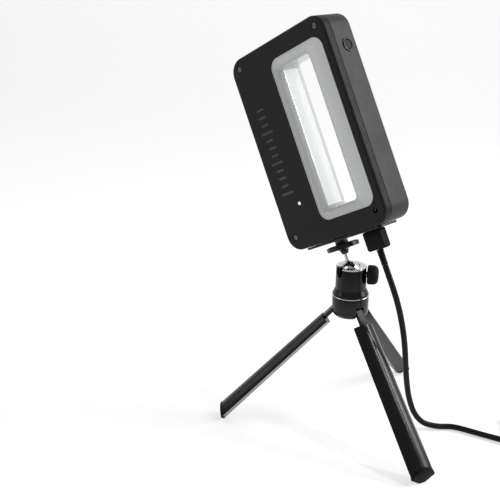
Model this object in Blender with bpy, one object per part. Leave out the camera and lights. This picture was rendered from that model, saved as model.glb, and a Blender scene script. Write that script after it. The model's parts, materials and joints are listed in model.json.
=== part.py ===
"""A ring-shaped handheld 3-D scanner on a folding mini tripod with a ball head.

Sizes are in millimetres, and MM turns them into metres when a mesh is made. The tripod stands on
z = 0. Three kinds of frame carry the pieces: "stand" at the tripod's axis on the floor, "head" at
the ball's centre with +Z up the leaning stem, and "scanner" at the scanner's corner with X across
its width, Y from its rear face to its front face and Z along its length.
"""

import math

import bmesh
import bpy
from mathutils import Matrix, Vector

MM = 0.001
GAP = 0.3  # between neighbouring pieces

# Scanner body
WIDTH, DEPTH, LENGTH = 118.0, 33.0, 178.0
CORNER_R = 14.0
EDGE_R = 2.2
WALL = 2.0
FACE_WALL = 2.6  # the front face, which carries the window
PART_Y = 8.0  # where the rear cover meets the front housing
MOUTH = (49.5, 109.2, 18.5, 160.3, 8.5)  # x0, x1, z0, z1 and corner radius of the hand hole at a face
THROAT = (54.5, 87.2, 26.4, 153.4, 3.5)  # the same at its narrowest
FLARE = 8.6  # depth over which the mouth narrows to the throat
LIP = 1.2
LINER_WALL = 1.6
SEAM_Y = DEPTH / 2  # where the two liners meet

# Scanner fittings
SCREW_X, SCREW_ZS = 10.4, (12.0, 169.0)  # rear screws: in from the long edges, and up the length
WINDOW = (5.2, 40.8, 14.0, 164.0, 5.0)
OPTICS_X = 23.0
BUTTON_Y, BUTTON_Z = 21.1, 147.3
BUTTON_TRAVEL = 0.8
LIGHT_X, LIGHT_Z = 28.8, 39.3
PLATE = (15.0, 103.0, 4.2, 28.8)  # x0, x1, y0, y1 of the end plate
PLATE_T = 2.0
PLATE_SCREWS = (24.0, 70.0)
PLUG_X = 84.9
PLUG = (19.4, 9.0, 16.9)  # overmould width, depth and length
SOCKET_X = 46.5  # the tripod thread, from the left edge

# Ball head
BALL_Z = 146.6
BALL_R = 8.5
LEAN = 26.3  # degrees the stem leans towards -X
STEM_R = 2.0
BASE_Z = 30.5  # scanner's bottom face above the ball's centre, along the stem
PLATFORM_R, PLATFORM_TOP, PLATFORM_LOW = 14.6, 24.3, 20.4
STUD_R = 3.17  # quarter-inch tripod thread
BARREL_R = 13.1
BARREL_LOW, BARREL_TOP = 125.9, 149.9
BORE_R = 10.0
SLOT_AZ, SLOT_W = 257.0, 7.6
CLAMP_AZ, CLAMP_Z = 33.0, 144.0
KNOB_R, KNOB_IN, KNOB_OUT = 8.5, 14.2, 23.6
KNOB_FLAT, KNOB_ROUND = 4.0, 4.6  # radius of its flat end, and the depth of the rounding round it
COLLAR_R = 15.8

# Tripod
HUB_R, HUB_LOW, HUB_TOP, HUB_ROUND = 16.0, 105.5, 124.4, 5.5
RING_R = 16.4
LEG_AZ = (222.0, 342.0, 102.0)
PIVOT_R, PIVOT_Z = 10.0, 118.6
SPREAD = 44.0
LINK_LOW, LINK_HIGH, LINK_W = -3.3, 0.3, 6.6  # the arm's faces from the hinge, and its width
EYE_R = 2.9
SLOT_IN, SLOT_OUT = 6.2, 13.3  # each slot's open top, from the tripod's axis
LEG_TOP, TAPER_END, CREST_END, APEX_END = -19.4, -145.0, -150.1, -158.3
FOOT_T = 2.4  # length of the rubber foot along the leg
LEG_R_TOP, LEG_R_END = 11.5, 13.6  # from the folded legs' common axis to a leg's crest
SIDE_GAP = 0.5  # each leg's flat sides stand this far back from the planes between the legs

# Cable
CABLE_R = 2.6
CABLE_LENGTH = 1800.0
RELIEF_LEN = 13.5
ROUTE = (  # from the strain relief to the coil, about the tripod's axis
    (35.8, 0.0, 160.9),
    (40.2, 0.1, 151.9),
    (44.4, 0.5, 142.8),
    (48.2, 1.9, 131.5),
    (50.8, 4.4, 118.0),
    (52.0, 8.0, 102.0),
    (51.8, 12.0, 85.0),
    (50.8, 16.0, 67.0),
    (50.2, 20.0, 49.0),
    (50.8, 24.2, 32.0),
    (53.6, 29.4, 16.5),
    (59.6, 35.6, 6.7),
    (69.0, 44.0, 3.3),
    (81.0, 54.0, 3.0),
)
COIL_CENTRE = (148.0, 113.0)
COIL_IN, COIL_OUT = 22.8, 41.6  # centreline radii of the innermost and outermost turns
COIL_EDGE = COIL_OUT + CABLE_R
COIL_LOW = 0.9  # the tie under the coil lifts it
COIL_TOP = 11.4  # two layers of cable
TIE_T, TIE_HALF, TIE_AT = 0.6, 3.5, 200.0
TAIL_TURN = 95.0  # degrees round the coil from where the tail leaves it
TAIL_R = 54.0
FAR_PLUG = (28.0, 15.7, 7.8)  # length, width and height
TAIL_Z = FAR_PLUG[2] / 2 + 0.15

CORNER_SEGS = 7


# ---------------------------------------------------------------- mesh tools


def clear_scene():
    for obj in list(bpy.data.objects):
        bpy.data.objects.remove(obj)


def skin(loops, closed=False):
    """A solid through loops of points. A loop of one point is a tip. A closed skin is a ring."""
    bm = bmesh.new()
    rows = [[bm.verts.new(p) for p in loop] for loop in loops]
    pairs = list(zip(rows, rows[1:]))
    if closed:
        pairs.append((rows[-1], rows[0]))
    for a, b in pairs:
        count = max(len(a), len(b))
        for i in range(count):
            j = (i + 1) % count
            corners = [a[i % len(a)], a[j % len(a)], b[j % len(b)], b[i % len(b)]]
            bm.faces.new(list(dict.fromkeys(corners)))
    if not closed:
        for end in (rows[0], rows[-1]):
            if len(end) > 2:
                bm.faces.new(end)
    bmesh.ops.recalc_face_normals(bm, faces=bm.faces)
    return bm


def joined(meshes):
    """One mesh holding several separate solids."""
    whole = bmesh.new()
    for bm in meshes:
        part = bpy.data.meshes.new("part")
        bm.to_mesh(part)
        whole.from_mesh(part)
        bpy.data.meshes.remove(part)
        bm.free()
    return whole


def turned(profile, at=(0, 0, 0), axis=(0, 0, 1), segments=24, ring=False):
    """Turns (radius, distance) points about an axis through "at". A ring's profile is closed."""
    turn = Matrix.Translation(at) @ Vector(axis).to_track_quat("Z", "Y").to_matrix().to_4x4()
    loops = []
    for radius, along in profile:
        count = segments if radius > 0 else 1
        angles = [2 * math.pi * i / segments for i in range(count)]
        loops.append([turn @ Vector((radius * math.cos(a), radius * math.sin(a), along)) for a in angles])
    return skin(loops, closed=ring)


def rod(radius, start, end, at=(0, 0, 0), axis=(0, 0, 1), segments=16):
    return turned([(0, start), (radius, start), (radius, end), (0, end)], at, axis, segments)


def tube(outer, inner, start, end, at=(0, 0, 0), axis=(0, 0, 1), segments=16):
    profile = [(outer, start), (outer, end), (inner, end), (inner, start)]
    return turned(profile, at, axis, segments, ring=True)


def rounded(u0, u1, v0, v1, radius, segments=CORNER_SEGS):
    """The points of a rectangle with round corners, anticlockwise."""
    points = []
    centres = ((u1 - radius, v1 - radius), (u0 + radius, v1 - radius))
    centres += ((u0 + radius, v0 + radius), (u1 - radius, v0 + radius))
    for quarter, (cu, cv) in enumerate(centres):
        for i in range(segments + 1):
            a = math.pi / 2 * (quarter + i / segments)
            points.append((cu + radius * math.cos(a), cv + radius * math.sin(a)))
    return points


def prism(points, axis, start, end):
    """Extrudes an outline along x, y or z."""
    place = {
        "x": lambda u, v, d: (d, u, v),
        "y": lambda u, v, d: (u, d, v),
        "z": lambda u, v, d: (u, v, d),
    }[axis]
    return skin([[place(u, v, d) for u, v in points] for d in (start, end)])


def box(x0, x1, y0, y1, z0, z1):
    return prism([(x0, y0), (x1, y0), (x1, y1), (x0, y1)], "z", z0, z1)


def empty(name, parent=None, at=(0, 0, 0), turn=(0, 0, 0)):
    """A frame: its place in millimetres under its parent, and its turn in degrees."""
    obj = bpy.data.objects.new(name, None)
    bpy.context.scene.collection.objects.link(obj)
    obj.parent = parent
    obj.location = Vector(at) * MM
    obj.rotation_euler = [math.radians(a) for a in turn]
    return obj


def finish_mesh(name, bm, parent):
    bmesh.ops.scale(bm, vec=(MM, MM, MM), verts=bm.verts)
    mesh = bpy.data.meshes.new(name)
    bm.to_mesh(mesh)
    bm.free()
    mesh.shade_smooth()
    mesh.set_sharp_from_angle(angle=math.radians(35))
    obj = bpy.data.objects.new(name, mesh)
    bpy.context.scene.collection.objects.link(obj)
    obj.parent = parent
    return obj


def make(name, bm, finish, parent):
    obj = finish_mesh(name, bm, parent)
    obj.data.materials.append(material(name, *finish))
    return obj


def shape_with(obj, bm, operation, parent=None):
    """Cuts a shape out of a piece, or joins one to it."""
    tool = finish_mesh("tool_for_" + obj.name, bm, parent or obj.parent)
    tool.hide_render = True
    tool.display_type = "WIRE"
    modifier = obj.modifiers.new("shape", "BOOLEAN")
    modifier.operation = operation
    modifier.solver = "EXACT"
    modifier.object = tool


def cut(obj, bm, parent=None):
    shape_with(obj, bm, "DIFFERENCE", parent)


def material(piece, finish, colour, roughness, metallic):
    mat = bpy.data.materials.new(piece + "_" + finish)
    mat.use_nodes = True
    shader = mat.node_tree.nodes["Principled BSDF"]
    shader.inputs["Base Color"].default_value = (*colour, 1)
    shader.inputs["Roughness"].default_value = roughness
    shader.inputs["Metallic"].default_value = metallic
    return mat


BLACK_SHELL = ("black_shell", (0.016, 0.017, 0.019), 0.5, 0.0)
GREY_LINER = ("grey_liner", (0.6, 0.61, 0.61), 0.22, 0.0)
DARK_WINDOW = ("dark_window", (0.01, 0.01, 0.012), 0.05, 0.0)
BLACK_METAL = ("black_metal", (0.008, 0.008, 0.009), 0.25, 0.6)
DARK_STEEL = ("dark_steel", (0.12, 0.12, 0.125), 0.35, 1.0)
CHROME = ("chrome", (0.75, 0.75, 0.76), 0.08, 1.0)
ALUMINIUM = ("aluminium", (0.5, 0.51, 0.52), 0.35, 1.0)
BLACK_RUBBER = ("black_rubber", (0.014, 0.014, 0.015), 0.75, 0.0)
CABLE_JACKET = ("cable_jacket", (0.012, 0.012, 0.013), 0.5, 0.0)
NYLON = ("nylon", (0.55, 0.55, 0.52), 0.5, 0.0)
BOARD_GREEN = ("board_green", (0.01, 0.09, 0.03), 0.45, 0.0)
CHIP_BLACK = ("chip_black", (0.015, 0.015, 0.016), 0.5, 0.0)
LIGHT_LENS = ("light_lens", (0.75, 0.85, 0.82), 0.2, 0.0)


# ---------------------------------------------------------------- scanner


def outer_loop(inset, y):
    edge = rounded(inset, WIDTH - inset, inset, LENGTH - inset, CORNER_R - inset)
    return [(x, y, z) for x, z in edge]


def hole_loop(share, grow, y):
    """The hand hole's outline, from its mouth at share 0 to its throat at share 1."""
    x0, x1, z0, z1, radius = [m + (t - m) * share for m, t in zip(MOUTH, THROAT)]
    edge = rounded(x0 - grow, x1 + grow, z0 - grow, z1 + grow, radius + grow)
    return [(x, y, z) for x, z in edge]


def face_edge(face_y, inward, wall):
    """A housing half's loops from its round outer edge to its inner wall, at one face."""
    hole = LIP + GAP
    round_steps = [math.radians(a) for a in (0, 30, 60, 90)]
    loops = [
        outer_loop(EDGE_R * (1 - math.cos(a)), face_y + inward * EDGE_R * (1 - math.sin(a)))
        for a in round_steps
    ]
    loops.append(hole_loop(0, hole, face_y))
    loops.append(hole_loop(0, hole, face_y + inward * wall))
    loops.append(outer_loop(WALL, face_y + inward * wall))
    return loops


def rear_screw_places():
    for x in (SCREW_X, WIDTH - SCREW_X):
        for z in SCREW_ZS:
            yield x, z


def housings(scanner):
    rear_loops = [outer_loop(0, PART_Y)] + face_edge(0, 1, WALL) + [outer_loop(WALL, PART_Y)]
    rear = make("rear_shell", skin(rear_loops, closed=True), BLACK_SHELL, scanner)
    counterbore = [(0, -1), (2.5, -1), (2.5, 1.2), (1.4, 1.2), (1.4, 3), (0, 3)]
    screw = [(0, 0.3), (2.2, 0.1), (2.2, 0.9), (1.1, 0.9), (1.1, 13.5), (0, 13.5)]
    along_y = (0, 1, 0)
    holes = [turned(counterbore, (x, 0, z), along_y, 16) for x, z in rear_screw_places()]
    holes.append(rod(1.8, -1, 3, (LIGHT_X, 0, LIGHT_Z), along_y))
    cut(rear, joined(holes))
    for number, (x, z) in enumerate(rear_screw_places(), start=1):
        make(f"rear_screw_{number}", turned(screw, (x, 0, z), along_y, 16), DARK_STEEL, scanner)

    split = PART_Y + GAP
    front_loops = [outer_loop(0, split)] + face_edge(DEPTH, -1, FACE_WALL)
    front_loops.append(outer_loop(WALL, split))
    front = make("front_shell", skin(front_loops, closed=True), BLACK_SHELL, scanner)
    posts = [tube(3.2, 1.4, 9.5, 31.5, (x, 0, z), along_y) for x, z in rear_screw_places()]
    shape_with(front, joined(posts), "UNION")
    x0, x1, z0, z1, radius = WINDOW
    recess = rounded(x0 - GAP, x1 + GAP, z0 - GAP, z1 + GAP, radius + GAP)
    cut(front, prism(recess, "y", DEPTH - 1.7, DEPTH + 1))
    cut(front, prism(rounded(x0 + 3, x1 - 3, z0 + 6, z1 - 6, 3), "y", DEPTH - 4, DEPTH - 1.5))
    cut(front, rod(5.3, WIDTH - 4, WIDTH + 1, (0, BUTTON_Y, BUTTON_Z), (1, 0, 0), 24))
    base = [rod(6.05, -1, 4, (SOCKET_X, DEPTH / 2, 0), segments=24)]
    base.append(box(PLUG_X - 6.7, PLUG_X + 6.7, DEPTH / 2 - 2.2, DEPTH / 2 + 2.2, -1, 4))
    base += [rod(1.3, -1, 4, (x, DEPTH / 2, 0), segments=12) for x in PLATE_SCREWS]
    cut(front, joined(base))
    make("sensor_window", prism(rounded(*WINDOW), "y", DEPTH - 1.4, DEPTH - 0.2), DARK_WINDOW, scanner)


def liner_side(inward, face_y):
    """Loops down one half of the hand hole and back up behind its wall."""
    steps = [math.radians(a) for a in (0, 20, 40, 60, 80, 90)]
    front = [hole_loop(0, LIP, face_y - inward * GAP), hole_loop(0, 0.5, face_y - inward * GAP)]
    front.append(hole_loop(0, 0.3, face_y + inward * 0.4))
    front += [
        hole_loop(math.sin(a), 0, face_y + inward * (FLARE * (1 - math.cos(a)) + 0.4 * math.cos(a)))
        for a in steps
    ]
    back = [
        hole_loop(math.sin(a), LINER_WALL * math.sin(a), face_y + inward * (FLARE + LINER_WALL * 1.4)
                  - inward * FLARE * math.cos(a))
        for a in reversed(steps)
    ]
    seam = SEAM_Y - inward * GAP / 2
    front.append(hole_loop(1, 0, seam))
    back.insert(0, hole_loop(1, LINER_WALL, seam))
    back.append(hole_loop(0, LIP, face_y + inward * LINER_WALL * 1.4))
    return front + back


def liners(scanner):
    make("liner_rear", skin(liner_side(1, 0), closed=True), GREY_LINER, scanner)
    make("liner_front", skin(liner_side(-1, DEPTH), closed=True), GREY_LINER, scanner)


def optics(scanner):
    """The stereo pair, pattern projector and colour camera that look out through the front."""
    along_y = (0, 1, 0)
    middle = LENGTH / 2

    def camera(name, z, half, barrel_r, body_finish):
        body = box(OPTICS_X - half, OPTICS_X + half, 18.3, 25.0, z - half, z + half)
        obj = make(name, body, body_finish, scanner)
        lens = barrel_r - 1.2
        barrel = [(0, 24), (barrel_r, 24), (barrel_r, 29.8), (lens, 29.8), (lens, 27)]
        barrel += [(lens * 0.6, 28), (0, 28.4)]
        shape_with(obj, turned(barrel, (OPTICS_X, 0, z), along_y, 20), "UNION")

    camera("upper_camera", middle + 58, 11, 6.5, CHIP_BLACK)
    camera("lower_camera", middle - 58, 11, 6.5, CHIP_BLACK)
    camera("colour_camera", middle + 26, 8, 4.5, CHIP_BLACK)
    camera("pattern_projector", middle - 4, 12, 8.0, ALUMINIUM)
    bracket = prism(rounded(6, 41, 16, 162, 2, 2), "y", 16, 18)
    make("optics_bracket", bracket, ALUMINIUM, scanner)
    board = prism(rounded(7.5, 38.5, 44, 134, 2, 2), "y", 20.2, 21.6)
    board = make("light_board", board, BOARD_GREEN, scanner)
    for z, half in ((middle + 26, 8.4), (middle - 4, 12.4)):
        cut(board, box(OPTICS_X - half, OPTICS_X + half, 19, 23, z - half, z + half))
    lights = []
    for x in (OPTICS_X - 10, OPTICS_X + 10):
        for z in (middle - 27, middle + 13, middle + 40):
            dome = [(0, 21), (2.5, 21), (2.5, 25), (1.8, 26.4), (0, 27)]
            lights.append(turned(dome, (x, 0, z), along_y, 12))
    shape_with(board, joined(lights), "UNION")


def electronics(scanner):
    board = prism(rounded(7, 40, 22, 156, 2, 2), "y", 9.4, 11)
    board = make("main_board", board, BOARD_GREEN, scanner)
    chips = [(12, 26, 80, 94), (28, 36, 78, 90), (12, 22, 110, 120), (26, 35, 118, 130)]
    chips.append((14, 30, 44, 56))
    chip_boxes = [box(x0, x1, 10.6, 12.6, z0, z1) for x0, x1, z0, z1 in chips]
    shape_with(board, joined(chip_boxes), "UNION")
    pipe = [(0, -0.15), (1.2, -0.15), (1.5, 0.1), (1.5, 9.1), (0, 9.1)]
    make("status_light", turned(pipe, (LIGHT_X, 0, LIGHT_Z), (0, 1, 0), 16), LIGHT_LENS, scanner)


def scan_button(scanner):
    """The button, its ring and its switch. The button's origin is on the line it slides along."""
    frame = empty("button_frame", scanner, (WIDTH, BUTTON_Y, BUTTON_Z), (0, 90, 0))
    ring = [(4.5, -3), (5.0, -3), (5.0, GAP), (5.8, GAP), (5.8, 0.7), (5.3, 1.1), (4.5, 1.1)]
    make("button_ring", turned(ring, segments=24, ring=True), BLACK_METAL, frame)
    cap = [(0, -3.6), (4.2, -3.6), (4.2, 0.5), (3.6, 0.8), (0, 1.0)]
    make("scan_button", turned(cap, segments=24), BLACK_SHELL, frame)
    switch = make("button_switch", box(-5, 5, -5, 5, -9.8, -8.6), CHIP_BLACK, frame)
    shape_with(switch, joined([box(-3, 3, -3, 3, -9, -5.6), rod(1.6, -7, -4.7)]), "UNION")


def base_fittings(scanner):
    """The end plate, the tripod thread and the cable's connector, all on the bottom face."""
    mid = DEPTH / 2
    x0, x1, y0, y1 = PLATE
    plate = prism(rounded(x0, x1, y0, y1, 3, 4), "z", -GAP - PLATE_T, -GAP)
    plate = make("end_plate", plate, BLACK_METAL, scanner)
    holes = [rod(6.05, -4, 1, (SOCKET_X, mid, 0), segments=24)]
    holes.append(box(PLUG_X - 6.7, PLUG_X + 6.7, mid - 2.2, mid + 2.2, -4, 1))
    sink = [(0, -3), (2.3, -3), (2.3, -1.3), (1.3, -1.3), (1.3, 1), (0, 1)]
    holes += [turned(sink, (x, mid, 0), segments=12) for x in PLATE_SCREWS]
    cut(plate, joined(holes))
    screw = [(0, -2.2), (2.0, -2.2), (2.0, -1.6), (1.0, -1.6), (1.0, 6), (0, 6)]
    for number, x in enumerate(PLATE_SCREWS, start=1):
        make(f"plate_screw_{number}", turned(screw, (x, mid, 0), segments=12), DARK_STEEL, scanner)

    low = PLATFORM_TOP + 0.6 - BASE_Z
    socket = [(0, 4), (3.5, 4), (3.5, low), (5.75, low), (5.75, 2.3), (8, 2.3), (8, 4.5)]
    socket += [(5.75, 4.5), (5.75, 8), (0, 8)]
    make("tripod_socket", turned(socket, (SOCKET_X, mid, 0)), DARK_STEEL, scanner)

    jack = box(PLUG_X - 7.5, PLUG_X + 7.5, mid - 3.4, mid + 3.4, 2.3, 12)
    jack = make("cable_jack", jack, DARK_STEEL, scanner)
    cut(jack, box(PLUG_X - 6.3, PLUG_X + 6.3, mid - 1.8, mid + 1.8, 1, 9.5))
    tip = box(PLUG_X - 6, PLUG_X + 6, mid - 1.5, mid + 1.5, -GAP - PLATE_T, 8.5)
    make("plug_tip", tip, CHROME, scanner)
    wide, deep, long = PLUG
    top = -2 * GAP - PLATE_T

    def plug_loop(inset, z):
        half_x, half_y = wide / 2 - inset, deep / 2 - inset
        edge = rounded(PLUG_X - half_x, PLUG_X + half_x, mid - half_y, mid + half_y, 0.9, 2)
        return [(x, y, z) for x, y in edge]

    ends = [(0.8, top), (0, top - 0.5), (0, top - long + 0.8), (0.8, top - long)]
    make("cable_plug", skin([plug_loop(inset, z) for inset, z in ends]), BLACK_RUBBER, scanner)
    start = top - long - GAP
    end = start - RELIEF_LEN
    taper = [(0, start), (3.1, start), (3.1, start - 2), (2.75, end), (0, end)]
    make("strain_relief", turned(taper, (PLUG_X, mid, 0), segments=16), BLACK_RUBBER, scanner)


# ---------------------------------------------------------------- ball head


def ball_head(stand, head):
    """Everything from the scanner's thread down to the barrel. Heights in "head" are above the ball."""
    rows = [math.radians(d) for d in range(-75, 74, 15)]
    ball = [(BALL_R * math.cos(a), BALL_R * math.sin(a)) for a in rows]
    neck = math.sqrt(BALL_R**2 - STEM_R**2)
    stem = [(STEM_R, neck), (STEM_R, 19.0), (0, 19.0)]
    make("ball_stem", turned([(0, -BALL_R)] + ball + stem), CHROME, head)
    seat = PLATFORM_TOP - 0.7
    platform = [(0, 20.4), (3.5, 20.4), (3.5, seat), (12.7, seat), (12.7, PLATFORM_TOP)]
    platform += [(PLATFORM_R - 0.4, PLATFORM_TOP), (PLATFORM_R, PLATFORM_TOP - 0.4)]
    platform += [(PLATFORM_R, PLATFORM_LOW + 0.4), (PLATFORM_R - 0.4, PLATFORM_LOW)]
    platform += [(7.0, PLATFORM_LOW), (4.8, 19.6), (3.6, 18.2), (3.0, 15.6)]
    platform += [(STEM_R + GAP, 15.6), (STEM_R + GAP, 19.3), (0, 19.3)]
    make("platform", turned(platform, segments=28), BLACK_METAL, head)
    pad = tube(12.4, 4.2, seat + GAP, PLATFORM_TOP + GAP, segments=24)
    make("platform_pad", pad, BLACK_RUBBER, head)
    make("mount_screw", rod(STUD_R, 20.6, 34.1), DARK_STEEL, head)

    def cup_r(z):
        return math.sqrt((BALL_R + GAP) ** 2 - z**2)

    cup = [(cup_r(z), BALL_Z + z) for z in (-8.5, -7.7, -6.7, -5.6)]
    cup += [(9.7, BALL_Z - 5.6), (9.7, BALL_Z - 9.9), (cup_r(-8.5), BALL_Z - 9.9)]
    make("ball_cup", turned(cup, ring=True), NYLON, stand)

    barrel = [(3.5, BARREL_LOW), (COLLAR_R, BARREL_LOW), (COLLAR_R, 126.6), (14.2, 130.3), (13.6, 131.4)]
    barrel += [(BARREL_R, BARREL_TOP - 0.4), (BARREL_R - 0.4, BARREL_TOP), (BORE_R, BARREL_TOP)]
    barrel += [(BORE_R, BALL_Z - 10.2), (3.5, BALL_Z - 10.2)]
    barrel = make("head_barrel", turned(barrel, segments=32, ring=True), BLACK_METAL, stand)
    rim_low = BARREL_TOP + GAP
    rim = [(8.1, rim_low), (13.2, rim_low), (13.4, rim_low + 0.5), (12.8, rim_low + 1.3)]
    rim += [(8.2, rim_low + 1.3), (7.6, rim_low + 1.0)]
    rim = make("barrel_rim", turned(rim, segments=32, ring=True), CHROME, stand)
    side = empty("slot_side", stand, turn=(0, 0, SLOT_AZ))
    arc = [math.radians(a) for a in range(180, 361, 30)]
    slot = [(SLOT_W / 2 * math.cos(a), BALL_Z + SLOT_W / 2 * math.sin(a)) for a in arc]
    slot += [(SLOT_W / 2, BALL_Z + 20), (-SLOT_W / 2, BALL_Z + 20)]
    for piece in (barrel, rim):
        cut(piece, prism(slot, "x", 6, 20), side)

    clamp = empty("clamp_frame", stand, (0, 0, CLAMP_Z), (0, 90, CLAMP_AZ))
    cut(barrel, rod(3.0, 8, 17, segments=16), clamp)
    make("clamp_shoe", rod(2.6, 8.85, 11.4), NYLON, clamp)
    make("clamp_screw", rod(2.5, 11.7, 20.0), DARK_STEEL, clamp)
    knob = [(0, 20.3), (2.8, 20.3), (2.8, KNOB_IN), (KNOB_R - 0.9, KNOB_IN), (KNOB_R, KNOB_IN + 0.8)]
    for a in [math.radians(d) for d in range(0, 91, 15)]:
        radius = KNOB_FLAT + (KNOB_R - KNOB_FLAT) * math.cos(a)
        knob.append((radius, KNOB_OUT - KNOB_ROUND * (1 - math.sin(a))))
    knob.append((0, KNOB_OUT))
    make("clamp_knob", turned(knob), BLACK_RUBBER, clamp)


# ---------------------------------------------------------------- tripod


def leg_section(radius, grow=0.0):
    """A third of a round bar in a leg's own frame, whose origin is on the hinge."""
    flat = SIDE_GAP - grow

    def on_side(distance, sign):
        a = math.radians(60)
        x = distance * math.cos(a) + flat * math.sin(a)
        y = distance * math.sin(a) - flat * math.cos(a)
        return (x - PIVOT_R, sign * y)

    outer = radius + grow
    arc = [math.radians(57 - 9.5 * i) for i in range(13)]
    points = [on_side(1.1, 1), on_side(outer - 0.4, 1)]
    points += [(outer * math.cos(a) - PIVOT_R, outer * math.sin(a)) for a in arc]
    points += [on_side(outer - 0.4, -1), on_side(1.1, -1)]
    return points


def slanted(section, rise):
    """A section laid in the leg's slanting end, or some way up the leg from it."""
    slope = (CREST_END - APEX_END) / (LEG_R_END - 1.1)
    return [(x, y, CREST_END - slope * (LEG_R_END - PIVOT_R - x) + rise) for x, y in section]


def foot_mesh():
    """A rubber foot on the slanting end, cut level where it stands."""
    grow = 0.35
    section = leg_section(LEG_R_END, grow)
    small = leg_section(LEG_R_END - 0.5, grow - 0.5)
    bm = skin([slanted(section, FOOT_T), slanted(section, 0.8), slanted(small, 0)])
    up = Vector((math.sin(math.radians(SPREAD)), 0, math.cos(math.radians(SPREAD))))
    geometry = bm.verts[:] + bm.edges[:] + bm.faces[:]
    floor_cut = bmesh.ops.bisect_plane(
        bm, geom=geometry, dist=1e-5, plane_co=up * -PIVOT_Z, plane_no=up, clear_inner=True
    )
    edges = [e for e in floor_cut["geom_cut"] if isinstance(e, bmesh.types.BMEdge)]
    bmesh.ops.holes_fill(bm, edges=edges)
    bmesh.ops.recalc_face_normals(bm, faces=bm.faces)
    return bm


def legs(stand):
    pin_holes, slots = [], []
    lean = math.radians(SPREAD)
    for number, azimuth in enumerate(LEG_AZ, start=1):
        side = empty(f"side_{number}", stand, turn=(0, 0, azimuth))
        leg = empty(f"leg_{number}", side, (PIVOT_R, 0, PIVOT_Z), (0, -SPREAD, 0))
        eye = [math.radians(a) for a in range(0, 181, 20)]
        outline = [(EYE_R * math.cos(a), EYE_R * math.sin(a)) for a in eye]
        outline += [(-EYE_R, -1), (LINK_LOW, -4), (LINK_LOW, LEG_TOP - 7.5)]
        outline += [(LINK_HIGH, LEG_TOP - 7.5), (LINK_HIGH, -4), (EYE_R, -1)]
        link = prism(outline, "y", -LINK_W / 2, LINK_W / 2)
        link = make(f"leg_link_{number}", link, BLACK_METAL, leg)
        cut(link, rod(1.5, -6, 6, axis=(0, 1, 0), segments=12))
        loops = [
            [(x, y, z) for x, y in leg_section(r)]
            for r, z in ((LEG_R_TOP, LEG_TOP), (LEG_R_END, TAPER_END))
        ]
        loops.append(slanted(leg_section(LEG_R_END), FOOT_T + GAP))
        shell = make(f"leg_{number}_bar", skin(loops), BLACK_METAL, leg)
        wide = LINK_W / 2 + GAP
        pocket = (LINK_LOW - GAP, LINK_HIGH + GAP, -wide, wide, LEG_TOP - 7.8, LEG_TOP + 1)
        cut(shell, box(*pocket))
        make(f"leg_{number}_foot", foot_mesh(), BLACK_RUBBER, leg)
        a = math.radians(azimuth)
        at = (PIVOT_R * math.cos(a), PIVOT_R * math.sin(a), PIVOT_Z)
        along = (-math.sin(a), math.cos(a), 0)
        make(f"hinge_pin_{number}", rod(1.2, -6.5, 6.5, at, along, 12), DARK_STEEL, stand)
        pin_holes.append(rod(1.5, -6.8, 6.8, at, along, 12))
        room = EYE_R + GAP
        upper = (PIVOT_R + room * math.cos(lean), PIVOT_Z + room * math.sin(lean))
        slot = [(SLOT_IN, HUB_LOW - 5), (SLOT_IN, HUB_TOP + 2), (SLOT_OUT, HUB_TOP + 2)]
        slot += [(SLOT_OUT, upper[1] - (SLOT_OUT - upper[0]) / math.tan(lean))]
        slot += [(22, upper[1] - (22 - upper[0]) / math.tan(lean)), (22, HUB_LOW - 5)]
        shape = prism(slot, "y", -LINK_W / 2 - GAP, LINK_W / 2 + GAP)
        bmesh.ops.rotate(shape, cent=(0, 0, 0), matrix=Matrix.Rotation(a, 3, "Z"), verts=shape.verts)
        slots.append(shape)

    arc = [math.radians(a) for a in (-90, -70, -50, -30, -12, 0)]
    hub = [(3.4, HUB_LOW + 3.6), (4.5, HUB_LOW + 3.6), (4.5, HUB_LOW)]
    hub += [
        (HUB_R - HUB_ROUND + HUB_ROUND * math.cos(a), HUB_LOW + HUB_ROUND + HUB_ROUND * math.sin(a))
        for a in arc
    ]
    hub += [(HUB_R, HUB_TOP - 0.4), (HUB_R - 0.4, HUB_TOP), (3.4, HUB_TOP)]
    hub = make("leg_hub", turned(hub, segments=36, ring=True), BLACK_METAL, stand)
    for tool in slots + pin_holes:
        cut(hub, tool)
    head_low, head_top, end = HUB_LOW + 0.3, HUB_LOW + 3.3, 133.5
    bolt = [(0, head_low), (4.2, head_low), (4.2, head_top), (3.1, head_top), (3.1, end), (0, end)]
    make("hub_bolt", turned(bolt, segments=16), DARK_STEEL, stand)
    low, top = HUB_TOP + GAP, HUB_TOP + GAP + 0.9
    ring = [(8.0, low), (RING_R - 0.2, low), (RING_R, low + 0.4), (RING_R - 0.3, top), (8.0, top)]
    make("hub_ring", turned(ring, segments=32, ring=True), CHROME, stand)


# ---------------------------------------------------------------- cable


def smooth_points(points, per_span=8):
    """Points on a smooth curve through the given ones."""
    knots = [Vector(p) for p in points]
    knots = [2 * knots[0] - knots[1]] + knots + [2 * knots[-1] - knots[-2]]
    found = []
    for p0, p1, p2, p3 in zip(knots, knots[1:], knots[2:], knots[3:]):
        for i in range(per_span):
            t = i / per_span
            tangents = (p2 - p0) * (t - 2 * t**2 + t**3) / 2 + (p3 - p1) * (t**3 - t**2) / 2
            found.append(p1 * (1 - 3 * t**2 + 2 * t**3) + p2 * (3 * t**2 - 2 * t**3) + tangents)
    return found + [knots[-2]]


def spaced(points, step):
    """Every so far along a line of points, with both ends kept."""
    kept, run = [points[0]], 0.0
    for a, b in zip(points, points[1:]):
        run += (b - a).length
        if run >= step:
            kept.append(b)
            run = 0.0
    if (points[-1] - kept[-1]).length < step / 2:
        kept.pop()
    return kept + [points[-1]]


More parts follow.
